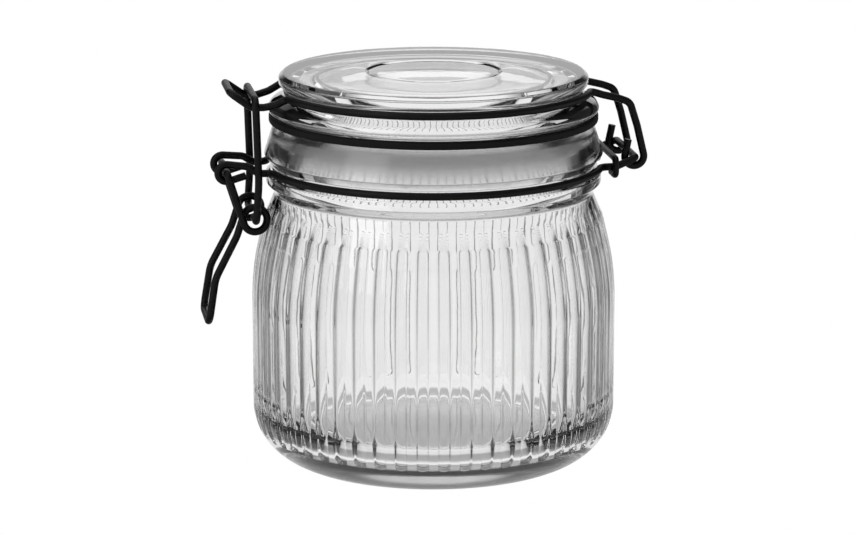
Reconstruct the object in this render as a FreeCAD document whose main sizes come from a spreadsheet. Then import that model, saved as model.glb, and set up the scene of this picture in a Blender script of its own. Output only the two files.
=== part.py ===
import FreeCAD, Part

import math
import os

import Sketcher
from FreeCAD import Vector

# A ribbed glass storage jar with a clip-top lid. The jar stands on z = 0 with its axis on Z.
# The clasp is on the -X side and the hinge on the +X side. Everything is in millimetres.
# One wire round the neck carries the clasp's lever on its two hooks and is the hinge's bar
# at the back. A second wire sits in the lid's groove: its nose holds the lid shut under the
# bail, and its two curled ends go round the hinge bar.

SIZES = {
    # jar, outside
    "foot_in": 38.0,
    "foot_flat": 39.4,
    "foot_out": 43.16,
    "foot_lift": 1.6,
    "body_radius": 54.0,
    "corner_top": 15.5,
    "corner_curve": 16.5,
    "shoulder_start": 48.0,
    "shoulder_mid_radius": 51.6,
    "shoulder_mid": 67.0,
    "shoulder_curve": 76.4,
    "shoulder_top_radius": 50.4,
    "shoulder_top": 72.0,
    "throat_radius": 46.8,
    "throat_level": 80.4,
    "collar_radius": 49.6,
    "collar_low": 83.2,
    "collar_high": 85.9,
    "seat_radius": 48.2,
    "seat_low": 86.7,
    "seat_high": 89.1,
    "bulge_radius": 50.1,
    "bulge_level": 91.4,
    "rim_radius": 47.7,
    "rim_level": 98.9,
    "rim_top": 100.8,
    "rim_edge": 46.2,
    "shoulder_round": 6.0,
    "throat_round": 1.6,
    "neck_round": 0.6,
    # jar, inside
    "wall": 3.2,
    "floor": 7.0,
    "inner_corner": 15.0,
    "inner_shoulder": 66.0,
    "inner_round": 2.5,
    "mouth_radius": 43.3,
    "mouth_low": 84.0,
    "mouth_edge": 1.0,
    # grooves down the outside of the jar
    "flute_count": 54,
    "flute_radius": 2.1,
    "flute_depth": 0.85,
    "flute_first": -1.9,
    "flute_low_turn": 17.0,
    "flute_high_turn": 17.0,
    "flute_exit": 2.5,
    "flute_exit_turn": 60.0,
    # lid
    "lid_gap": 0.1,
    "gasket_height": 2.3,
    "gasket_radius": 48.6,
    "gasket_inner": 42.1,
    "gasket_round": 0.6,
    "flange_radius": 49.2,
    "flange_level": 104.6,
    "flange_edge": 47.2,
    "flange_top_radius": 48.0,
    "flange_top": 106.9,
    "flange_round": 1.4,
    "flange_top_round": 2.4,
    "groove_radius": 44.4,
    "groove_low": 108.7,
    "groove_high": 111.1,
    "disc_radius": 45.6,
    "disc_low": 112.2,
    "disc_high": 114.2,
    "disc_top": 115.4,
    "disc_edge": 44.2,
    "disc_round": 0.8,
    "plug_radius": 41.8,
    "plug_tip_radius": 39.6,
    "plug_low": 98.6,
    "plug_step": 100.9,
    "lid_hollow": 104.9,
    "hollow_radius": 36.0,
    "hollow_top_radius": 34.6,
    "ring_outer": 20.2,
    "ring_middle": 19.6,
    "ring_inner": 19.0,
    "ring_depth": 0.8,
    "well_depth": 0.3,
    # wires
    "wire_radius": 1.1,
    "clip_radius": 1.0,
    "bend": 3.0,
    "wide_bend": 12.0,
    # the neck wire: its ring, its two hooks and its bar at the hinge
    "neck_ring": 49.7,
    "neck_level": 87.9,
    "hook_radius": 2.53,
    "pivot_x": -62.0,
    "pivot_z": 88.0,
    "hook_y": 7.2,
    "neck_y": 9.0,
    "hinge_x": 58.1,
    "hinge_z": 90.4,
    "hinge_y": 14.3,
    "hinge_bend": 1.5,
    # the lid wire: its ring, its nose at the clasp and its curls round the hinge bar
    "lid_ring": 46.2,
    "lid_level": 110.2,
    "nose_y": 12.2,
    "nose_x": -60.8,
    "nose_z": 112.0,
    "curl_radius": 2.85,
    "curl_y": 11.8,
    # the clip that holds the neck wire's two ends of the ring together
    "tie_x": 51.6,
    "tie_y": 16.6,
    "tie_low": 85.7,
    "tie_high": 90.6,
    "tie_bend": 1.5,
    # the lever and the bail
    "lever_y": 10.4,
    "pin_y": 5.2,
    "coil_x": -54.0,
    "coil_z": 74.3,
    "coil_radius": 3.5,
    "coil_pitch": 2.45,
    "bail_y": 13.4,
    "bail_pin_y": 6.0,
    "bail_top_x": -53.9,
    "bail_top_z": 110.3,
}

doc = FreeCAD.newDocument("ClipTopJar")
sheet = doc.addObject("Spreadsheet::Sheet", "Sizes")
for row, (alias, number) in enumerate(SIZES.items(), start=1):
    sheet.set("A%d" % row, alias)
    sheet.set("B%d" % row, str(number))
    sheet.setAlias("B%d" % row, alias)
doc.recompute()


def value(name):
    return float(sheet.get(name))


def expression(name):
    """A sum of cell names turned into an expression that reads the sheet."""
    words = name.split()
    return " ".join("Sizes." + word if word in SIZES else word for word in words)


def number(name):
    """The same sum as a plain number."""
    total = 0.0
    sign = 1.0
    for word in name.split():
        if word == "+":
            sign = 1.0
        elif word == "-":
            sign = -1.0
        else:
            total += sign * (value(word) if word in SIZES else float(word))
            sign = 1.0
    return total


def origin_plane(body, role):
    return next(part for part in body.Origin.OriginFeatures if part.Role == role)


def arc_through(start, end, radius, turn):
    """The sketch arc of that radius from start to end; turn +1 is anticlockwise."""
    chord = end - start
    middle = (start + end) * 0.5
    rise = math.sqrt(max(radius * radius - chord.Length * chord.Length / 4.0, 0.0))
    side = Vector(-chord.y, chord.x, 0).normalize() * (rise * turn)
    centre = middle + side
    first = math.atan2(start.y - centre.y, start.x - centre.x)
    last = math.atan2(end.y - centre.y, end.x - centre.x)
    circle = Part.Circle(centre, Vector(0, 0, 1), radius)
    return Part.ArcOfCircle(circle, first, last) if turn > 0 else Part.ArcOfCircle(circle, last, first)


def profile_sketch(body, name, outline):
    """A closed half section on XZ. Each corner is (radius, height, curve), where curve is None
    for a straight side to the next corner, or (radius of the side, +1 or -1 for its turn)."""
    sketch = body.newObject("Sketcher::SketchObject", name)
    sketch.AttachmentSupport = (origin_plane(body, "XZ_Plane"), [""])
    sketch.MapMode = "FlatFace"
    corners = [Vector(number(x), number(z), 0) for x, z, _ in outline]
    sides = []
    for index, (_, _, curve) in enumerate(outline):
        start = corners[index]
        end = corners[(index + 1) % len(corners)]
        if curve is None:
            side = sketch.addGeometry(Part.LineSegment(start, end), False)
            sides.append((side, 1, 2))
        else:
            side = sketch.addGeometry(arc_through(start, end, number(curve[0]), curve[1]), False)
            sides.append((side, 1, 2) if curve[1] > 0 else (side, 2, 1))
    for index, (x, z, curve) in enumerate(outline):
        side, first, last = sides[index]
        following = sides[(index + 1) % len(sides)]
        sketch.addConstraint(Sketcher.Constraint("Coincident", side, last, following[0], following[1]))
        for kind, name_of in (("DistanceX", x), ("DistanceY", z)):
            if abs(number(name_of)) < 1e-9:
                other = "PointOnObject"
                axis = -2 if kind == "DistanceX" else -1
                sketch.addConstraint(Sketcher.Constraint(other, side, first, axis))
            else:
                row = sketch.addConstraint(
                    Sketcher.Constraint(kind, -1, 1, side, first, number(name_of)))
                sketch.setExpression("Constraints[%d]" % row, expression(name_of))
        if curve is not None:
            row = sketch.addConstraint(Sketcher.Constraint("Radius", side, number(curve[0])))
            sketch.setExpression("Constraints[%d]" % row, expression(curve[0]))
    return sketch


def turned_body(name, outline):
    body = doc.addObject("PartDesign::Body", name)
    body.Label = name
    sketch = profile_sketch(body, name + "_section", outline)
    turning = body.newObject("PartDesign::Revolution", name + "_turned")
    turning.Profile = sketch
    turning.ReferenceAxis = (sketch, ["V_Axis"])
    turning.Angle = 360.0
    sketch.Visibility = False
    doc.recompute()
    return body


JAR_OUTLINE = [
    ("0", "foot_lift", None),
    ("foot_in", "foot_lift", None),
    ("foot_flat", "0", None),
    ("foot_out", "0", ("corner_curve", 1)),
    ("body_radius", "corner_top", None),
    ("body_radius", "shoulder_start", ("shoulder_curve", 1)),
    ("shoulder_mid_radius", "shoulder_mid", None),
    ("shoulder_top_radius", "shoulder_top", None),
    ("throat_radius", "throat_level", None),
    ("collar_radius", "collar_low", None),
    ("collar_radius", "collar_high", None),
    ("seat_radius", "seat_low", None),
    ("seat_radius", "seat_high", None),
    ("bulge_radius", "bulge_level", None),
    ("rim_radius", "rim_level", None),
    ("rim_edge", "rim_top", None),
    ("mouth_radius + mouth_edge", "rim_top", None),
    ("mouth_radius", "rim_top - mouth_edge", None),
    ("mouth_radius", "mouth_low", None),
    ("shoulder_mid_radius - wall", "inner_shoulder", None),
    ("body_radius - wall", "shoulder_start", None),
    ("body_radius - wall", "floor + inner_corner", ("inner_corner", -1)),
    ("body_radius - wall - inner_corner", "floor", None),
    ("0", "floor", None),
]

LID_OUTLINE = [
    ("0", "lid_hollow", None),
    ("hollow_top_radius", "lid_hollow", None),
    ("hollow_radius", "plug_low", None),
    ("plug_tip_radius", "plug_low", None),
    ("plug_radius", "plug_step", None),
    ("plug_radius", "rim_top + lid_gap + gasket_height", None),
    ("flange_edge", "rim_top + lid_gap + gasket_height", None),
    ("flange_radius", "flange_level", None),
    ("flange_top_radius", "flange_top", None),
    ("groove_radius", "groove_low", None),
    ("groove_radius", "groove_high", None),
    ("disc_radius", "disc_low", None),
    ("disc_radius", "disc_high", None),
    ("disc_edge", "disc_top", None),
    ("ring_outer", "disc_top", None),
    ("ring_middle", "disc_top - ring_depth", None),
    ("ring_inner", "disc_top - well_depth", None),
    ("0", "disc_top - well_depth", None),
]

GASKET_OUTLINE = [
    ("gasket_inner", "rim_top + lid_gap", None),
    ("gasket_radius - gasket_round", "rim_top + lid_gap", ("gasket_round", 1)),
    ("gasket_radius", "rim_top + lid_gap + gasket_round", None),
    ("gasket_radius", "rim_top + lid_gap + gasket_height - gasket_round", ("gasket_round", 1)),
    ("gasket_radius - gasket_round", "rim_top + lid_gap + gasket_height", None),
    ("gasket_inner", "rim_top + lid_gap + gasket_height", None),
]


def round_edges(body, name, rims, size):
    """Rounds the circular edges that lie at each (radius, height) in rims."""
    wanted = [(number(radius), number(height)) for radius, height in rims]
    found = []
    for index, edge in enumerate(body.Shape.Edges, start=1):
        curve = edge.Curve
        if curve.TypeId != "Part::GeomCircle":
            continue
        for radius, height in wanted:
            if abs(curve.Radius - radius) < 0.01 and abs(curve.Center.z - height) < 0.01:
                found.append("Edge%d" % index)
    if len(found) != len(wanted):
        raise RuntimeError("%s: %d of %d edges found" % (name, len(found), len(wanted)))
    solid = body.Tip
    rounding = body.newObject("PartDesign::Fillet", name)
    rounding.Base = (solid, found)
    rounding.Radius = number(size)
    rounding.setExpression("Radius", expression(size))
    doc.recompute()


def flute_path(body):
    """The middle line of the cutter that makes one groove: it follows the wall from outside,
    and at each end an arc takes it away from the wall, so the groove ends in a round tip."""
    stand_off = value("flute_radius") - value("flute_depth")
    corner_radius = value("corner_curve") + stand_off
    shoulder_radius = value("shoulder_curve") + stand_off
    exit_radius = value("flute_exit")
    exit_turn = math.radians(value("flute_exit_turn"))
    low = Vector(value("body_radius") + stand_off, value("corner_top"), 0)
    high = Vector(low.x, value("shoulder_start"), 0)
    low_angle = -math.radians(value("flute_low_turn"))
    high_angle = math.radians(value("flute_high_turn"))

    def outward(angle):
        return Vector(math.cos(angle), math.sin(angle), 0)

    def arc(centre, radius, first, last):
        return Part.ArcOfCircle(Part.Circle(centre, Vector(0, 0, 1), radius), first, last)

    corner_centre = low - Vector(corner_radius, 0, 0)
    shoulder_centre = high - Vector(shoulder_radius, 0, 0)
    low_centre = corner_centre + outward(low_angle) * (corner_radius + exit_radius)
    high_centre = shoulder_centre + outward(high_angle) * (shoulder_radius + exit_radius)
    low_start = low_angle + math.pi
    high_end = high_angle + math.pi

    path = body.newObject("Sketcher::SketchObject", "flute_path")
    path.AttachmentSupport = (origin_plane(body, "XZ_Plane"), [""])
    path.MapMode = "FlatFace"
    path.addGeometry(arc(low_centre, exit_radius, low_start, low_start + exit_turn), False)
    path.addGeometry(arc(corner_centre, corner_radius, low_angle, 0), False)
    path.addGeometry(Part.LineSegment(low, high), False)
    path.addGeometry(arc(shoulder_centre, shoulder_radius, 0, high_angle), False)
    path.addGeometry(arc(high_centre, exit_radius, high_end - exit_turn, high_end), False)
    for side, point, other, other_point in ((0, 1, 1, 1), (1, 2, 2, 1), (2, 2, 3, 1), (3, 2, 4, 2)):
        path.addConstraint(Sketcher.Constraint("Coincident", side, point, other, other_point))
    path.addConstraint(Sketcher.Constraint("Vertical", 2))
    for kind, point, rule in (
            ("DistanceX", 1, "body_radius + flute_radius - flute_depth"),
            ("DistanceY", 1, "corner_top"),
            ("DistanceY", 2, "shoulder_start")):
        row = path.addConstraint(Sketcher.Constraint(kind, -1, 1, 2, point, number(rule)))
        path.setExpression("Constraints[%d]" % row, expression(rule))
    for side, rule in (
            (0, "flute_exit"), (1, "corner_curve + flute_radius - flute_depth"),
            (3, "shoulder_curve + flute_radius - flute_depth"), (4, "flute_exit")):
        row = path.addConstraint(Sketcher.Constraint("Radius", side, number(rule)))
        path.setExpression("Constraints[%d]" % row, expression(rule))
    doc.recompute()
    return path


def cut_flutes(body):
    """Rounded grooves down the jar's side: one swept cut, repeated round the axis."""
    path = flute_path(body)
    section = body.newObject("Sketcher::SketchObject", "flute_section")
    section.AttachmentSupport = [(path, "Edge3")]
    section.MapMode = "NormalToEdge"
    section.addGeometry(Part.Circle(Vector(0, 0, 0), Vector(0, 0, 1), value("flute_radius")), False)
    section.addConstraint(Sketcher.Constraint("Coincident", 0, 3, -1, 1))
    row = section.addConstraint(Sketcher.Constraint("Radius", 0, value("flute_radius")))
    section.setExpression("Constraints[%d]" % row, expression("flute_radius"))
    doc.recompute()
    flute = body.newObject("PartDesign::SubtractivePipe", "flute")
    flute.Profile = section
    flute.Spine = (path, ["Edge%d" % (index + 1) for index in range(path.GeometryCount)])
    doc.recompute()
    flutes = body.newObject("PartDesign::PolarPattern", "flutes")
    flutes.Originals = [flute]
    flutes.Axis = (path, ["V_Axis"])
    flutes.Angle = 360.0
    flutes.setExpression("Occurrences", expression("flute_count"))
    body.Tip = flutes
    body.setExpression("Placement.Rotation.Angle", expression("flute_first"))
    path.Visibility = False
    section.Visibility = False
    doc.recompute()


def bent_path(corners):
    """Straight runs joined by tangent arcs. Each corner is (x, y, z, bend radius); a radius of
    0 takes the largest arc that two equal halves of the shorter run beside it allow."""
    points = [Vector(*corner[:3]) for corner in corners]
    edges = []
    here = points[0]
    for index in range(1, len(points) - 1):
        before = points[index] - points[index - 1]
        after = points[index + 1] - points[index]
        turn = before.getAngle(after)
        bend = corners[index][3]
        reach = bend * math.tan(turn / 2.0) if bend else min(before.Length, after.Length) / 2.0
        start = points[index] - Vector(before).normalize() * reach
        end = points[index] + Vector(after).normalize() * reach
        gap = (start - here).dot(Vector(before).normalize())
        if gap < -0.02 or reach > after.Length + 0.02:
            raise RuntimeError("corner %d has no room for its bend: %.2f" % (index, gap))
        if gap > 0.02:
            edges.append(Part.LineSegment(here, start).toShape())
        else:
            start = here
        bisector = (Vector(after).normalize() - Vector(before).normalize()).normalize()
        radius = reach / math.tan(turn / 2.0)
        middle = points[index] + bisector * (radius / math.cos(turn / 2.0) - radius)
        edges.append(Part.Arc(start, middle, end).toShape())
        here = end
    edges.append(Part.LineSegment(here, points[-1]).toShape())
    return Part.Wire(edges)


def ring_corners(radius, level, first, last, count):
    """Corners whose arcs make the part of a level ring from angle first to last, in degrees."""
    step = math.radians(last - first) / count
    reach = radius / math.cos(step / 2.0)
    angles = [math.radians(first) + step * (index + 0.5) for index in range(count)]
    return [(reach * math.cos(a), reach * math.sin(a), level, radius) for a in angles]


def loop_corners(centre, radius, first, last, count, start_y, end_y):
    """The same for a loop on edge, round a (x, z) centre, that may drift along Y like a coil."""
    step = math.radians(last - first) / count
    reach = radius / math.cos(step / 2.0)
    corners = []
    for index in range(count):
        angle = math.radians(first) + step * (index + 0.5)
        drift = start_y + (end_y - start_y) * (index + 0.5) / count
        bend = radius if start_y == end_y else 0
        x = centre[0] + reach * math.cos(angle)
        corners.append((x, drift, centre[1] + reach * math.sin(angle), bend))
    return corners


def leave_ring(radius, width, bend, side):
    """Where a strand at y = -width leaves a ring of that radius on side +1 or -1 of it: the
    corner's x, and the ring's angle at the end of the bend."""
    centre_x = side * math.sqrt((radius + bend) ** 2 - (width + bend) ** 2)
    angle = math.atan2(-(width + bend), centre_x) % (2.0 * math.pi)
    x = radius * math.cos(angle)
    y = radius * math.sin(angle)
    corner_x = x + (-width - y) * math.sin(angle) / -math.cos(angle)
    return corner_x, math.degrees(angle)


def mirrored(corners):
    """The half of a wire in front of the XZ plane, and its mirror image behind."""
    return corners + [(x, -y, z, bend) for x, y, z, bend in reversed(corners)]


def wire_node(name, corners, radius_name):
    """One piece of round wire swept along its path."""
    route = bent_path(corners)
    path = doc.addObject("Part::Feature", name + "_path")
    path.Shape = route
    section = doc.addObject("Part::Circle", name + "_section")
    section.setExpression("Radius", expression(radius_name))
    start = Vector(*corners[0][:3])
    heading = Vector(*corners[1][:3]) - start
    section.Placement = FreeCAD.Placement(start, FreeCAD.Rotation(Vector(0, 0, 1), heading))
    doc.recompute()
    sweep = doc.addObject("Part::Sweep", name)
    sweep.Label = name
    sweep.Sections = [section]
    sweep.Spine = (path, ["Edge%d" % index for index in range(1, len(route.Edges) + 1)])
    sweep.Solid = True
    sweep.Frenet = False
    doc.recompute()
    expected = math.pi * value(radius_name) ** 2 * route.Length
    print(name, "length %.1f mm" % route.Length, "volume ratio %.4f" % (sweep.Shape.Volume / expected))
    return sweep


def neck_wire_corners():
    """Hook, ring and half of the hinge bar."""
    bend = value("bend")
    ring = value("neck_ring")
    level = value("neck_level")
    pivot_x = value("pivot_x")
    pivot_z = value("pivot_z")
    hook_y = -value("hook_y")
    clasp_x, clasp_angle = leave_ring(ring, value("neck_y"), bend, -1)
    hinge_x, hinge_angle = leave_ring(ring, value("hinge_y"), bend, 1)
    corners = [(pivot_x + 5.6, hook_y, pivot_z - 0.95, 0)]
    corners += loop_corners((pivot_x, pivot_z), value("hook_radius"), 287.0, 84.1, 4, hook_y, hook_y)
    corners += [
        (pivot_x + 6.2, hook_y - 1.0, pivot_z + 1.9, bend),
        (pivot_x + 9.2, -value("neck_y"), level, bend),
        (clasp_x, -value("neck_y"), level, bend),
    ]
    corners += ring_corners(ring, level, clasp_angle, hinge_angle, 6)
    corners += [
        (hinge_x, -value("hinge_y"), level, bend),
        (hinge_x + 4.4, -value("hinge_y"), level, bend),
        (value("hinge_x"), -value("hinge_y"), value("hinge_z"), value("hinge_bend")),
    ]
    return corners


def lid_wire_corners():
    """Free end, curl round the hinge bar, ring in the lid's groove and half of the nose."""
    bend = value("bend")
    ring = value("lid_ring")
    level = value("lid_level")
    centre = (value("hinge_x"), value("hinge_z"))
    y = -value("curl_y")
    nose_y = -value("nose_y")
    hinge_x, hinge_angle = leave_ring(ring, value("curl_y"), bend, 1)
    clasp_x, clasp_angle = leave_ring(ring, value("nose_y"), bend, -1)
    corners = [(centre[0] - 1.85, y, centre[1] + 5.1, 0)]
    corners += loop_corners(centre, value("curl_radius"), 168.7, 373.6, 4, y, y)
    corners += [
        (centre[0] + 0.75, y, centre[1] + 9.1, value("wide_bend")),
        (centre[0] - 1.5, y, centre[1] + 16.2, bend),
        (centre[0] - 5.0, y, centre[1] + 17.5, value("wide_bend")),
        (hinge_x + 3.8, y, level - 1.2, bend),
        (hinge_x, y, level, 0.9 * bend),
    ]
    corners += ring_corners(ring, level, hinge_angle, clasp_angle, 6)
    corners += [
        (clasp_x, nose_y, level, 0.9 * bend),
        (clasp_x - 3.0, nose_y + 0.4, level - 1.6, bend),
        (clasp_x - 6.6, nose_y + 1.4, level - 2.5, bend),
        (clasp_x - 10.4, nose_y + 1.6, level - 2.4, bend),
        (value("nose_x"), nose_y + 2.4, value("nose_z"), 0.8 * bend),
    ]
    return corners


def tie_clip_corners():
    """Over both strands of the neck wire at the hinge, and turned in under them."""
    x = value("tie_x")
    y = -value("tie_y")
    return [
        (x, y + 6.0, value("tie_low"), 0),
        (x, y, value("tie_low"), value("tie_bend")),
        (x, y, value("tie_high"), value("tie_bend")),
    ]


def lever_corners():
    """Pin in the hook, coil for the bail, and half of the handle's loop."""
    pivot = Vector(value("pivot_x"), value("pivot_z"), 0)
    coil = Vector(value("coil_x"), value("coil_z"), 0)
    radius = value("coil_radius")
    y = -value("lever_y")
    inner_y = y + value("coil_pitch")
    elbow = coil + Vector(-5.35, -5.1, 0)
    arm = coil - pivot
    first = math.atan2(arm.y, arm.x) - math.asin(radius / arm.Length) - math.pi / 2.0
    away = elbow - coil
    last = math.atan2(away.y, away.x) - math.acos(radius / away.Length)
    first = math.degrees(first) % 360.0
    last = math.degrees(last) % 360.0 + 360.0
    corners = [
        (pivot.x, -value("pin_y"), pivot.y, 0),
        (pivot.x, y, pivot.y, 0.5 * value("bend")),
    ]
    corners += loop_corners((coil.x, coil.y), radius, first, last, 8, y, inner_y)
    corners += [
        (elbow.x, inner_y - 0.2, elbow.y, value("wide_bend")),
        (coil.x - 11.85, y + 1.4, coil.y - 17.4, value("wide_bend")),
        (coil.x - 13.95, y + 0.4, coil.y - 30.4, value("bend")),
    ]
    return corners


def bail_corners():
    """Pin in the lever's coil, and half of the loop over the lid wire's nose."""
    x = value("coil_x")
    z = value("coil_z")
    y = -value("bail_y")
    return [
        (x, -value("bail_pin_y"), z, 0),
        (x, y, z, 0.7 * value("bend")),
        (x + 0.8, y, z + 11.6, 4.0 * value("wide_bend")),
        (value("bail_top_x"), y, value("bail_top_z"), value("bend")),
    ]


JAR_ROUNDS = [
    ("jar_throat", "throat_round", [("throat_radius", "throat_level")]),
    ("jar_shoulder_edge", "shoulder_round", [("shoulder_top_radius", "shoulder_top")]),
    ("jar_neck_edges", "neck_round", [
        ("collar_radius", "collar_low"), ("collar_radius", "collar_high"),
        ("bulge_radius", "bulge_level"), ("rim_edge", "rim_top"),
        ("foot_flat", "0"), ("foot_out", "0")]),
    ("jar_inside_edges", "inner_round", [
        ("mouth_radius", "mouth_low"), ("shoulder_mid_radius - wall", "inner_shoulder")]),
]

LID_ROUNDS = [
    ("lid_flange_edge", "flange_round", [("flange_radius", "flange_level")]),
    ("lid_flange_top", "flange_top_round", [("flange_top_radius", "flange_top")]),
    ("lid_disc_edges", "disc_round", [
        ("disc_radius", "disc_low"), ("disc_radius", "disc_high"), ("disc_edge", "disc_top"),
        ("hollow_top_radius", "lid_hollow"), ("plug_radius", "plug_step")]),
]


jar = turned_body("jar", JAR_OUTLINE)
for name, size, rims in JAR_ROUNDS:
    round_edges(jar, name, rims, size)
cut_flutes(jar)

lid = turned_body("lid", LID_OUTLINE)
for name, size, rims in LID_ROUNDS:
    round_edges(lid, name, rims, size)

gasket = turned_body("gasket", GASKET_OUTLINE)

wires = [
    wire_node("neck_wire", mirrored(neck_wire_corners()), "wire_radius"),
    wire_node("tie_clip", mirrored(tie_clip_corners()), "clip_radius"),
    wire_node("lid_wire", mirrored(lid_wire_corners()), "wire_radius"),
    wire_node("lever_wire", mirrored(lever_corners()), "wire_radius"),
    wire_node("bail_wire", mirrored(bail_corners()), "wire_radius"),
]

nodes = [jar, lid, gasket] + wires
doc.recompute()
for item in doc.Objects:
    if "Invalid" in item.State or "Error" in item.State:
        raise RuntimeError("%s did not build: %s" % (item.Label, item.State))
os.makedirs("parts", exist_ok=True)
for node in nodes:
    shape = node.Shape
    if shape.isNull() or not shape.isValid() or len(shape.Solids) != 1:
        raise RuntimeError("%s has no single valid solid" % node.Label)
    box = shape.BoundBox
    print("%-10s %7.2f cm3  x %.2f..%.2f  y %.2f..%.2f  z %.2f..%.2f" % (
        node.Label, shape.Volume / 1000.0, box.XMin, box.XMax, box.YMin, box.YMax, box.ZMin, box.ZMax))
    shape.exportStep("parts/%s.step" % node.Label)
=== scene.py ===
import math

import bmesh
import bpy
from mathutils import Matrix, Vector


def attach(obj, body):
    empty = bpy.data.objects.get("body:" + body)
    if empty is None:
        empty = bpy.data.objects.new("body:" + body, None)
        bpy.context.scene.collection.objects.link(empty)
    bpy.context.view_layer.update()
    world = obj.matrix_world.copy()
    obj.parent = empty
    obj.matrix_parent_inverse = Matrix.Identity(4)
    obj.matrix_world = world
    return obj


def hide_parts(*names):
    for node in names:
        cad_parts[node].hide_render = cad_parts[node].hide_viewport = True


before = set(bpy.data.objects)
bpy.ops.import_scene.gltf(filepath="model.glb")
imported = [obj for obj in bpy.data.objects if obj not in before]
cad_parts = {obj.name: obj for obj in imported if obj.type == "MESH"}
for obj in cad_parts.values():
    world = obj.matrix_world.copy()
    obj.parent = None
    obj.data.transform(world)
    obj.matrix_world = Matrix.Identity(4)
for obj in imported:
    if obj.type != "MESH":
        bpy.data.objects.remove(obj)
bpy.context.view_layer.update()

# A clip-top jar of clear pressed glass with ribs, shut, on a plain pale floor. Lengths are in
# millimetres until they reach a mesh; the jar's axis is Z, its clasp on -X, its hinge on +X.
mm = 0.001


def linear(hexCode):
    # a colour written as RRGGBB, in the renderer's linear values
    parts = [int(hexCode[i:i + 2], 16) / 255.0 for i in (0, 2, 4)]
    return [c / 12.92 if c <= 0.04045 else ((c + 0.055) / 1.055) ** 2.4 for c in parts] + [1.0]


def grey(level):
    return [level, level, level, 1.0]


def addNode(tree, kind, inputs=None, stops=None, **settings):
    # a node with its settings, its inputs by name (a value, or another node's output), and a
    # colour ramp's stops as (position, colour) in rising order
    node = tree.nodes.new(kind)
    for name, value in settings.items():
        setattr(node, name, value)
    for name, value in (inputs or {}).items():
        if isinstance(value, bpy.types.NodeSocket):
            tree.links.new(value, node.inputs[name])
        else:
            node.inputs[name].default_value = value
    for index, (position, colour) in enumerate(stops or []):
        elements = node.color_ramp.elements
        stop = elements[index] if index < 2 else elements.new(position)
        stop.position = position
        stop.color = colour
    return node


def newMaterial(name):
    material = bpy.data.materials.new(name)
    material.use_nodes = True
    material.node_tree.nodes.clear()
    return material


def finishMaterial(material, shader):
    out = addNode(material.node_tree, "ShaderNodeOutputMaterial")
    material.node_tree.links.new(shader, out.inputs["Surface"])
    return material


def arcPoints(centre, radius, first, last, count):
    # points (radius, height) on an arc between two angles in degrees, both ends included
    points = []
    for step in range(count + 1):
        angle = math.radians(first + (last - first) * step / count)
        points.append((centre[0] + radius * math.cos(angle), centre[1] + radius * math.sin(angle)))
    return points


def roundOff(corners, count=3):
    # a profile from corners (radius, height) or (radius, height, round), where a round is an arc
    points = []
    for index, corner in enumerate(corners):
        here = Vector(corner[:2])
        if len(corner) < 3 or index in (0, len(corners) - 1):
            points.append(tuple(here))
            continue
        before = (Vector(corners[index - 1][:2]) - here).normalized()
        after = (Vector(corners[index + 1][:2]) - here).normalized()
        half = before.angle(after) / 2
        bisector = (before + after).normalized()
        centre = here + bisector * (corner[2] / math.sin(half))
        start = here + before * (corner[2] / math.tan(half)) - centre
        end = here + after * (corner[2] / math.tan(half)) - centre
        turn = start.angle_signed(end)
        for step in range(count + 1):
            angle = -turn * step / count
            x = start.x * math.cos(angle) - start.y * math.sin(angle)
            y = start.x * math.sin(angle) + start.y * math.cos(angle)
            points.append((centre.x + x, centre.y + y))
    return points


def spread(points, longest):
    # the same profile with no step longer than longest(height)
    dense = [points[0]]
    for a, b in zip(points, points[1:]):
        count = max(1, math.ceil(math.dist(a, b) / longest((a[1] + b[1]) / 2)))
        for step in range(1, count + 1):
            t = step / count
            dense.append((a[0] + (b[0] - a[0]) * t, a[1] + (b[1] - a[1]) * t))
    return dense


def joined(groups):
    # the corners of a profile's named stretches, one after another
    return [corner for group in groups.values() for corner in group]


def turned(name, profile, steps, repeats=1, shape=None):
    # a smooth closed solid from a profile that starts and ends on the axis: it is spun through
    # one repeat, shaped there by shape(mesh), and that wedge is then copied round
    mesh = bmesh.new()
    line = [mesh.verts.new((radius * mm, 0, z * mm)) for radius, z in profile]
    edges = [mesh.edges.new(pair) for pair in zip(line, line[1:])]
    wedge = 2 * math.pi / repeats
    bmesh.ops.spin(mesh, geom=line + edges, cent=(0, 0, 0), axis=(0, 0, 1), angle=wedge,
                   steps=steps, use_merge=repeats == 1)
    if shape:
        shape(mesh)
    if repeats > 1:
        bmesh.ops.spin(mesh, geom=mesh.verts[:] + mesh.edges[:] + mesh.faces[:], cent=(0, 0, 0),
                       axis=(0, 0, 1), angle=wedge * (repeats - 1), steps=repeats - 1,
                       use_duplicate=True)
    bmesh.ops.remove_doubles(mesh, verts=mesh.verts, dist=0.0005 * mm)
    bmesh.ops.recalc_face_normals(mesh, faces=mesh.faces)
    data = bpy.data.meshes.new(name)
    mesh.to_mesh(data)
    mesh.free()
    data.shade_smooth()
    piece = bpy.data.objects.new(name, data)
    bpy.context.collection.objects.link(piece)
    return piece


glass = {"clear": "FDFDFD", "ior": 1.5, "finishAndShadeTop": 120}   # finish rows, with the painted shade in them, run from height 0 to this top


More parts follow.
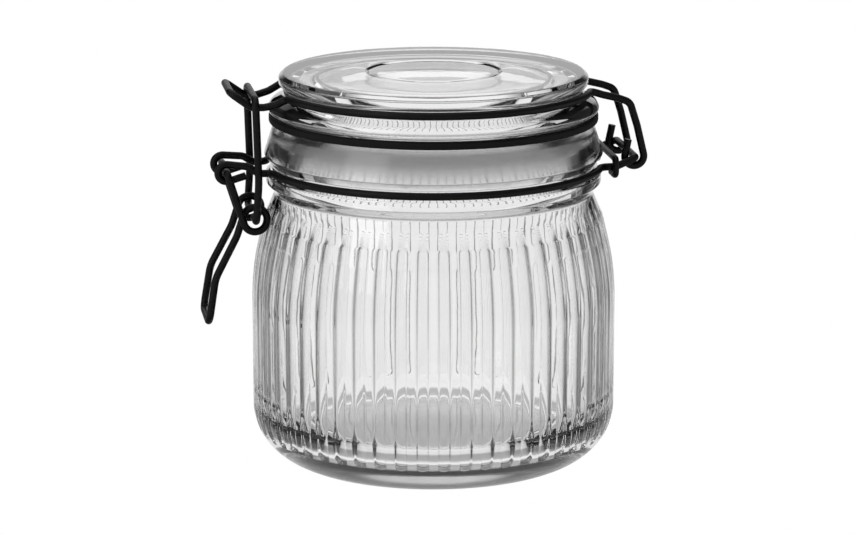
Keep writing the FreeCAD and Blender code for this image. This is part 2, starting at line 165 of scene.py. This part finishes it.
def glassMaterial(name, waviness, waveSize, finishAndShade=None):
    # soda glass pressed in a mould: clear, with a faint unevenness that bends what is seen through it;
    # a finish is (height, tone, roughness) rows that take it from clear to stippled, with greyer tones
    # that are painted shade
    material = newMaterial(name)
    tree = material.node_tree
    spot = addNode(tree, "ShaderNodeTexCoord").outputs["Object"]
    wave = addNode(tree, "ShaderNodeTexNoise", {
        "Vector": spot, "Scale": 1 / (waveSize * mm), "Detail": 2.0})
    bump = addNode(tree, "ShaderNodeBump", {
        "Height": wave.outputs["Fac"], "Strength": 1.0, "Distance": waviness * mm})
    tone = linear(glass["clear"])
    roughness = 0.0
    if finishAndShade:
        top = glass["finishAndShadeTop"]
        axes = addNode(tree, "ShaderNodeSeparateXYZ", {"Vector": spot})
        share = addNode(tree, "ShaderNodeMapRange", {
            "Value": axes.outputs["Z"], "From Max": top * mm}).outputs["Result"]
        # painted shade: this tone greys the foot and the band under the seal
        tone = addNode(tree, "ShaderNodeValToRGB", {"Fac": share}, [
            (height / top, linear(hexCode)) for height, hexCode, _ in finishAndShade]).outputs["Color"]
        roughness = addNode(tree, "ShaderNodeValToRGB", {"Fac": share}, [
            (height / top, grey(level)) for height, _, level in finishAndShade]).outputs["Color"]
    shader = addNode(tree, "ShaderNodeBsdfPrincipled", {
        "Base Color": tone, "Roughness": roughness, "IOR": glass["ior"],
        "Transmission Weight": 1.0, "Normal": bump.outputs["Normal"]})
    return finishMaterial(material, shader.outputs["BSDF"])


jar = {
    "foot": 38.0, "footFlat": 39.4, "footOut": 42.86, "footLift": 1.6,
    "footRound": 0.6, "footEdgeRound": 0.5,
    "body": 54.0, "corner": 16.5, "cornerTop": 15.5, "cornerStart": 2, "cornerSteps": 14,
    "shoulder": 48.0, "shoulderMid": 67.0, "shoulderCurve": 76.4, "shoulderSteps": 9,
    "neck": {
        "throat": [(50.4, 72.0, 6.0), (46.8, 80.4, 1.6)],
        "bead": [(49.6, 83.2, 0.6), (49.6, 85.9, 0.6)],
        "wireGroove": [(48.2, 86.7, 0.4), (48.2, 89.1, 0.4)],
        "band": [(50.1, 91.4, 0.6), (47.7, 98.9, 0.8)],
        "rim": [(46.2, 100.8, 0.6)],
    },
    "top": 100.8, "mouth": 43.3, "mouthRound": 1.0, "mouthLow": 84.0,
    "lipRound": 0.8, "throatRound": 4.0, "innerThroat": (48.4, 66.0, 8.0),
    "wall": 3.2, "floor": 7.0, "innerCorner": 15.0, "innerSteps": 10,
    # the grooves: columns are the mesh's, as shares of half a groove's pitch
    "flutes": 54, "fluteDepth": 0.75, "fluteHalfWidth": 1.7, "fluteFirst": -1.9,
    "fluteLow": 10.0, "fluteHigh": 71.3,
    "wallLow": 2.0, "wallHigh": 78.0, "wallInner": 45.0, "wallSlack": 0.5,
    "columns": (-1, -0.74, -0.56, -0.51, -0.43, -0.28, 0, 0.28, 0.43, 0.51, 0.56, 0.74, 1),
    # the mesh's rows: close where a groove ends, wider elsewhere and inside
    "endRow": 0.45, "endShift": 0.7, "endReach": 1.4, "row": 2.6, "innerRow": 8.0,
    "waviness": 0.02, "waveSize": 9.0,
    # a stippled foot greyed as painted shade, clear walls, and a soft band below the rim greyed as
    # painted shade under the seal
    "finishAndShade": [(0, "8C8C8C", 0.2), (2.4, "8C8C8C", 0.2), (3.4, "FDFDFD", 0), (88, "FDFDFD", 0),
               (96, "949494", 0.15), (99, "949494", 0.15), (100, "FDFDFD", 0)],
}


def jarProfiles():
    # its outside from the middle of the foot to the rim, and its inside back down
    low = math.degrees(math.asin(jar["cornerTop"] / jar["corner"]))
    high = math.degrees(math.asin((jar["shoulderMid"] - jar["shoulder"]) / jar["shoulderCurve"]))
    rim = (jar["mouth"] + jar["mouthRound"], jar["top"])
    innerWall = jar["body"] - jar["wall"]
    outside = [(0, jar["footLift"]), (jar["foot"], jar["footLift"], jar["footRound"]),
               (jar["footFlat"], 0, jar["footRound"]), (jar["footOut"], 0, jar["footEdgeRound"])]
    outside += arcPoints((jar["body"] - jar["corner"], jar["cornerTop"]), jar["corner"],
                         jar["cornerStart"] - low, 0, jar["cornerSteps"])
    outside += arcPoints((jar["body"] - jar["shoulderCurve"], jar["shoulder"]), jar["shoulderCurve"],
                         0, high, jar["shoulderSteps"])
    outside += joined(jar["neck"]) + [rim]
    inside = [rim, (jar["mouth"], jar["top"] - jar["mouthRound"], jar["lipRound"]),
              (jar["mouth"], jar["mouthLow"], jar["throatRound"]), jar["innerThroat"],
              (innerWall, jar["shoulder"])]
    inside += arcPoints((innerWall - jar["innerCorner"], jar["floor"] + jar["innerCorner"]),
                        jar["innerCorner"], 0, -90, jar["innerSteps"])
    inside += [(0, jar["floor"])]
    return roundOff(outside), roundOff(inside)


jarOutside, jarInside = jarProfiles()
plainWall = [point for point in jarOutside if point[0] > jar["wallInner"] and point[1] < jar["wallHigh"]]
flutePitch = 2 * math.pi / jar["flutes"]


def wallRadius(z):
    # the outside wall's radius at that height, before the grooves
    for a, b in zip(plainWall, plainWall[1:]):
        if a[1] <= z <= b[1]:
            return a[0] + (b[0] - a[0]) * (z - a[1]) / max(b[1] - a[1], 1e-9)
    return plainWall[0][0] if z < plainWall[0][1] else plainWall[-1][0]


def fluteCut(along, across):
    # a groove's depth at that height and that far across from its middle: a flat bottom with
    # steep round sides, and the same shape round its two ends
    beyond = max(0.0, jar["fluteLow"] - along, along - jar["fluteHigh"])
    reach = math.hypot(beyond, across) / jar["fluteHalfWidth"]
    return jar["fluteDepth"] * math.sqrt(1 - reach ** 4) if reach < 1 else 0.0


def cutFlute(mesh):
    # presses one groove into the outside of the wedge, along its middle, with the wedge's
    # columns gathered at the groove's edges
    columns = len(jar["columns"]) - 1
    for vertex in mesh.verts:
        z = vertex.co.z / mm
        radius = vertex.co.xy.length / mm
        column = round(math.atan2(vertex.co.y, vertex.co.x) / flutePitch * columns)
        across = jar["columns"][column] * flutePitch * jar["body"] / 2
        angle = math.radians(jar["fluteFirst"]) + across / jar["body"]
        if jar["wallLow"] <= z <= jar["wallHigh"] and radius > wallRadius(z) - jar["wallSlack"]:
            radius -= fluteCut(z, across)
        vertex.co.x = radius * math.cos(angle) * mm
        vertex.co.y = radius * math.sin(angle) * mm


def rowStep(z):
    lowEnd = abs(z - jar["fluteLow"] + jar["endShift"])
    highEnd = abs(z - jar["fluteHigh"] - jar["endShift"])
    return jar["endRow"] if min(lowEnd, highEnd) < jar["endReach"] else jar["row"]


jarProfile = spread(jarOutside, rowStep) + spread(jarInside, lambda z: jar["innerRow"])[1:]
jarPiece = turned("jarGlass", jarProfile, len(jar["columns"]) - 1, jar["flutes"], cutFlute)
jarPiece.data.materials.append(
    glassMaterial("jarGlassClear", jar["waviness"], jar["waveSize"], jar["finishAndShade"]))
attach(jarPiece, "jar")
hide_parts("jar")
print("jar", len(jarPiece.data.polygons))

lid = {
    "profile": {
        "underside": [(0, 104.9), (34.6, 104.9, 1.2)],
        "plug": [(36.0, 98.6, 0.5), (39.6, 98.6, 0.5), (41.8, 100.9, 0.8), (41.8, 103.2)],
        "flange": [(47.2, 103.2, 0.5), (49.2, 104.6, 1.4), (48.0, 106.9, 2.4)],
        "wireGroove": [(44.4, 108.7, 0.9), (44.4, 111.1, 0.6)],
        "disc": [(45.6, 112.2, 0.6), (45.6, 114.2, 0.9), (44.2, 115.4, 0.9)],
        "ring": [(20.2, 115.4, 0.15), (19.6, 114.6, 0.2), (19.0, 115.1, 0.15)],
        "middle": [(0, 115.1)],
    },
    "roundSteps": 8, "row": 4.0, "steps": 256,
    "waviness": 0.006, "waveSize": 14.0,
}
lidProfile = spread(roundOff(joined(lid["profile"]), lid["roundSteps"]), lambda z: lid["row"])
lidPiece = turned("lidGlass", lidProfile, lid["steps"])
lidPiece.data.materials.append(glassMaterial("lidGlassClear", lid["waviness"], lid["waveSize"]))
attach(lidPiece, "lid")
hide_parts("lid")
print("lid", len(lidPiece.data.polygons))

seal = {"dark": "040404", "pale": "0B0B0B", "roughness": 0.62, "specular": 0.15,
        "grainSize": 0.4, "grainDepth": 0.05}
wire = {"dark": "040404", "pale": "0C0C0D", "smooth": 0.28, "rough": 0.46, "specular": 0.14,
        "mottleSize": 2.38, "grainSize": 0.385, "grainDepth": 0.03}


def rubberMaterial():
    # moulded natural rubber: matt black with a fine grain
    material = newMaterial("sealRubber")
    tree = material.node_tree
    spot = addNode(tree, "ShaderNodeTexCoord").outputs["Object"]
    grain = addNode(tree, "ShaderNodeTexNoise", {
        "Vector": spot, "Scale": 1 / (seal["grainSize"] * mm), "Detail": 4.0})
    tone = addNode(tree, "ShaderNodeValToRGB", {"Fac": grain.outputs["Fac"]}, [
        (0, linear(seal["dark"])), (1, linear(seal["pale"]))])
    bump = addNode(tree, "ShaderNodeBump", {
        "Height": grain.outputs["Fac"], "Strength": 0.5, "Distance": seal["grainDepth"] * mm})
    shader = addNode(tree, "ShaderNodeBsdfPrincipled", {
        "Base Color": tone.outputs["Color"], "Roughness": seal["roughness"],
        "Specular IOR Level": seal["specular"], "Normal": bump.outputs["Normal"]})
    return finishMaterial(material, shader.outputs["BSDF"])


def wireMaterial():
    # drawn steel wire in a satin black coat: a little uneven, and paler where it has been rubbed
    material = newMaterial("coatedWire")
    tree = material.node_tree
    spot = addNode(tree, "ShaderNodeTexCoord").outputs["Object"]
    mottle = addNode(tree, "ShaderNodeTexNoise", {
        "Vector": spot, "Scale": 1 / (wire["mottleSize"] * mm), "Detail": 5.0})
    tone = addNode(tree, "ShaderNodeValToRGB", {"Fac": mottle.outputs["Fac"]}, [
        (0.35, linear(wire["dark"])), (0.75, linear(wire["pale"]))])
    rough = addNode(tree, "ShaderNodeMapRange", {
        "Value": mottle.outputs["Fac"], "To Min": wire["smooth"], "To Max": wire["rough"]})
    grain = addNode(tree, "ShaderNodeTexNoise", {
        "Vector": spot, "Scale": 1 / (wire["grainSize"] * mm), "Detail": 2.0})
    bump = addNode(tree, "ShaderNodeBump", {
        "Height": grain.outputs["Fac"], "Strength": 0.4, "Distance": wire["grainDepth"] * mm})
    shader = addNode(tree, "ShaderNodeBsdfPrincipled", {
        "Base Color": tone.outputs["Color"], "Roughness": rough.outputs["Result"],
        "Specular IOR Level": wire["specular"], "Normal": bump.outputs["Normal"]})
    return finishMaterial(material, shader.outputs["BSDF"])


coated = wireMaterial()
finishes = {"gasket": rubberMaterial(), "neck_wire": coated, "tie_clip": coated,
            "lid_wire": coated, "lever_wire": coated, "bail_wire": coated}
for node, material in finishes.items():   # the seal and the wires keep their CAD solids
    solid = bpy.data.objects[node]
    solid.data.materials.clear()
    solid.data.materials.append(material)
print("seal and wires", len(finishes))

# The floor shows as plain white. Towards the glass it glows as painted light, with painted shade in a
# strip just in front of the jar and in two fans that widen behind it, which draws the grooves' edges as
# dark lines. Distances are measured as the jar is faced, X across and Y away.
table = {
    "halfSize": 1600, "tone": "4A4A4A", "white": "FFFFFF",
    "stripFrom": -85, "stripTo": -52, "stripGlow": 0.12, "nearGlow": 0.85,
    "fanSlope": -0.35, "fanFrom": 35, "fanTo": 90, "fanGlow": 0.2,
    "restSlope": -1.2, "restFrom": 100, "restTo": 200, "restGlow": 0.75,
}
view = {"spot": (-144.3, -954.2, 280.0), "turn": 8.6, "dip": 13.07, "lens": 139.9, "shift": -0.007}

floorMesh = bmesh.new()
bmesh.ops.create_grid(floorMesh, x_segments=1, y_segments=1, size=table["halfSize"] * mm)
floorData = bpy.data.meshes.new("floor")
floorMesh.to_mesh(floorData)
floorMesh.free()
floor = bpy.data.objects.new("floor", floorData)
bpy.context.collection.objects.link(floor)
floorLook = newMaterial("paleFloor")
floorTree = floorLook.node_tree
place = addNode(floorTree, "ShaderNodeTexCoord").outputs["Object"]
faced = addNode(floorTree, "ShaderNodeVectorRotate", {
    "Vector": place, "Angle": math.radians(view["turn"])}, rotation_type="Z_AXIS")
axes = addNode(floorTree, "ShaderNodeSeparateXYZ", {"Vector": faced.outputs[0]})
aside = addNode(floorTree, "ShaderNodeMath", {0: axes.outputs["X"]}, operation="ABSOLUTE")
# painted shade: the glow drops low in a strip in front of the jar, like a dark card lying there
strip = addNode(floorTree, "ShaderNodeMapRange", {
    "Value": axes.outputs["Y"], "From Min": table["stripFrom"] * mm,
    "From Max": table["stripTo"] * mm, "To Min": table["stripGlow"], "To Max": table["nearGlow"]})
# painted shade: the glow also drops in two fans to the sides behind the jar
fanReach = addNode(floorTree, "ShaderNodeMath", {
    0: axes.outputs["Y"], 1: table["fanSlope"], 2: aside.outputs[0]}, operation="MULTIPLY_ADD")
fan = addNode(floorTree, "ShaderNodeMapRange", {
    "Value": fanReach.outputs[0], "From Min": table["fanFrom"] * mm,
    "From Max": table["fanTo"] * mm, "To Min": 1.0, "To Max": table["fanGlow"]})
near = addNode(floorTree, "ShaderNodeMath", {
    0: strip.outputs[0], 1: fan.outputs[0]}, operation="MULTIPLY")
restReach = addNode(floorTree, "ShaderNodeMath", {
    0: axes.outputs["Y"], 1: table["restSlope"], 2: aside.outputs[0]}, operation="MULTIPLY_ADD")
rest = addNode(floorTree, "ShaderNodeMapRange", {
    "Value": restReach.outputs[0], "From Min": table["restFrom"] * mm,
    "From Max": table["restTo"] * mm, "To Min": 0.0, "To Max": table["restGlow"]})
glow = addNode(floorTree, "ShaderNodeMath", {
    0: near.outputs[0], 1: rest.outputs[0]}, operation="MAXIMUM")
# painted light: the floor glows towards the glass, though it is no lamp
glowing = addNode(floorTree, "ShaderNodeEmission", {
    "Color": linear(table["white"]), "Strength": glow.outputs[0]})
pale = addNode(floorTree, "ShaderNodeBsdfDiffuse", {"Color": linear(table["tone"])})
litPlusPaintedGlow = addNode(floorTree, "ShaderNodeAddShader", {0: pale.outputs[0], 1: glowing.outputs[0]})
white = addNode(floorTree, "ShaderNodeEmission", {"Color": linear(table["white"]), "Strength": 1.0})
seen = addNode(floorTree, "ShaderNodeLightPath").outputs["Is Camera Ray"]
# the camera sees plain white; the glass and the wires see the lit floor plus its painted glow
whiteAndPaintedGlow = addNode(floorTree, "ShaderNodeMixShader", {0: seen, 1: litPlusPaintedGlow.outputs[0], 2: white.outputs[0]})
floorData.materials.append(finishMaterial(floorLook, whiteAndPaintedGlow.outputs[0]))
print("floor")

# The room shows as plain white too. What the glass and the wires see of it is an even pale grey on
# the near side. On the far side it is white in the middle, with a dark band to the left and right
# of that and pale again beyond. All of it dims towards the ceiling.
studio = {
    "bands": [(0, 1.0), (0.24, 1.0), (0.38, 0.08), (0.86, 0.08), (0.95, 0.8), (1, 0.8)],
    "frontLevel": 0.7, "frontFrom": -0.45,
    "rise": [(0.1, 1.0), (0.8, 0.35)],
    "aim": (0, 0, 60),
    "softboxes": {   # where, how wide and tall, and how many watts
        "topSoftbox": ((-60, 60, 620), 900, 900, 2.2),
        "leftSoftbox": ((-620, -420, 420), 400, 700, 1.5),
    },
}
world = bpy.data.worlds.new("studio")
bpy.context.scene.world = world
world.use_nodes = True
sky = world.node_tree
sky.nodes.clear()
heading = addNode(sky, "ShaderNodeTexCoord").outputs["Generated"]
facing = addNode(sky, "ShaderNodeVectorRotate", {
    "Vector": heading, "Angle": math.radians(view["turn"])}, rotation_type="Z_AXIS")
split = addNode(sky, "ShaderNodeSeparateXYZ", {"Vector": facing.outputs[0]})
sideways = addNode(sky, "ShaderNodeMath", {0: split.outputs["X"]}, operation="ABSOLUTE")
bands = addNode(sky, "ShaderNodeValToRGB", {"Fac": sideways.outputs[0]}, [
    (position, grey(level)) for position, level in studio["bands"]])
front = addNode(sky, "ShaderNodeMapRange", {
    "Value": split.outputs["Y"], "From Min": studio["frontFrom"], "From Max": 0.0,
    "To Min": 1.0, "To Max": 0.0})
walls = addNode(sky, "ShaderNodeMixRGB", {
    "Fac": front.outputs[0], "Color1": bands.outputs["Color"], "Color2": grey(studio["frontLevel"])})
rise = addNode(sky, "ShaderNodeValToRGB", {"Fac": split.outputs["Z"]}, [
    (position, grey(level)) for position, level in studio["rise"]])
room = addNode(sky, "ShaderNodeVectorMath", {
    0: walls.outputs["Color"], 1: rise.outputs["Color"]}, operation="MULTIPLY")
dim = addNode(sky, "ShaderNodeBackground", {"Color": room.outputs[0], "Strength": 1.0})
plain = addNode(sky, "ShaderNodeBackground", {"Color": linear("FFFFFF"), "Strength": 1.0})
direct = addNode(sky, "ShaderNodeLightPath").outputs["Is Camera Ray"]
both = addNode(sky, "ShaderNodeMixShader", {0: direct, 1: dim.outputs[0], 2: plain.outputs[0]})
addNode(sky, "ShaderNodeOutputWorld", {"Surface": both.outputs[0]})

aim = Vector(studio["aim"]) * mm
for name, (where, wide, tall, power) in studio["softboxes"].items():
    light = bpy.data.lights.new(name, "AREA")
    light.shape = "RECTANGLE"
    light.size = wide * mm
    light.size_y = tall * mm
    light.energy = power
    lamp = bpy.data.objects.new(name, light)
    lamp.location = Vector(where) * mm
    lamp.rotation_euler = (aim - lamp.location).to_track_quat("-Z", "Y").to_euler()
    bpy.context.collection.objects.link(lamp)
print("room and softboxes")

lens = bpy.data.cameras.new("camera")
lens.lens = view["lens"]
lens.sensor_width = 36.0
lens.shift_x = view["shift"]
lens.clip_end = 20.0
camera = bpy.data.objects.new("camera", lens)
camera.location = Vector(view["spot"]) * mm
camera.rotation_euler = (math.radians(90 - view["dip"]), 0, -math.radians(view["turn"]))
bpy.context.collection.objects.link(camera)
bpy.context.scene.camera = camera
bpy.context.scene.view_settings.view_transform = "Standard"
print("camera")
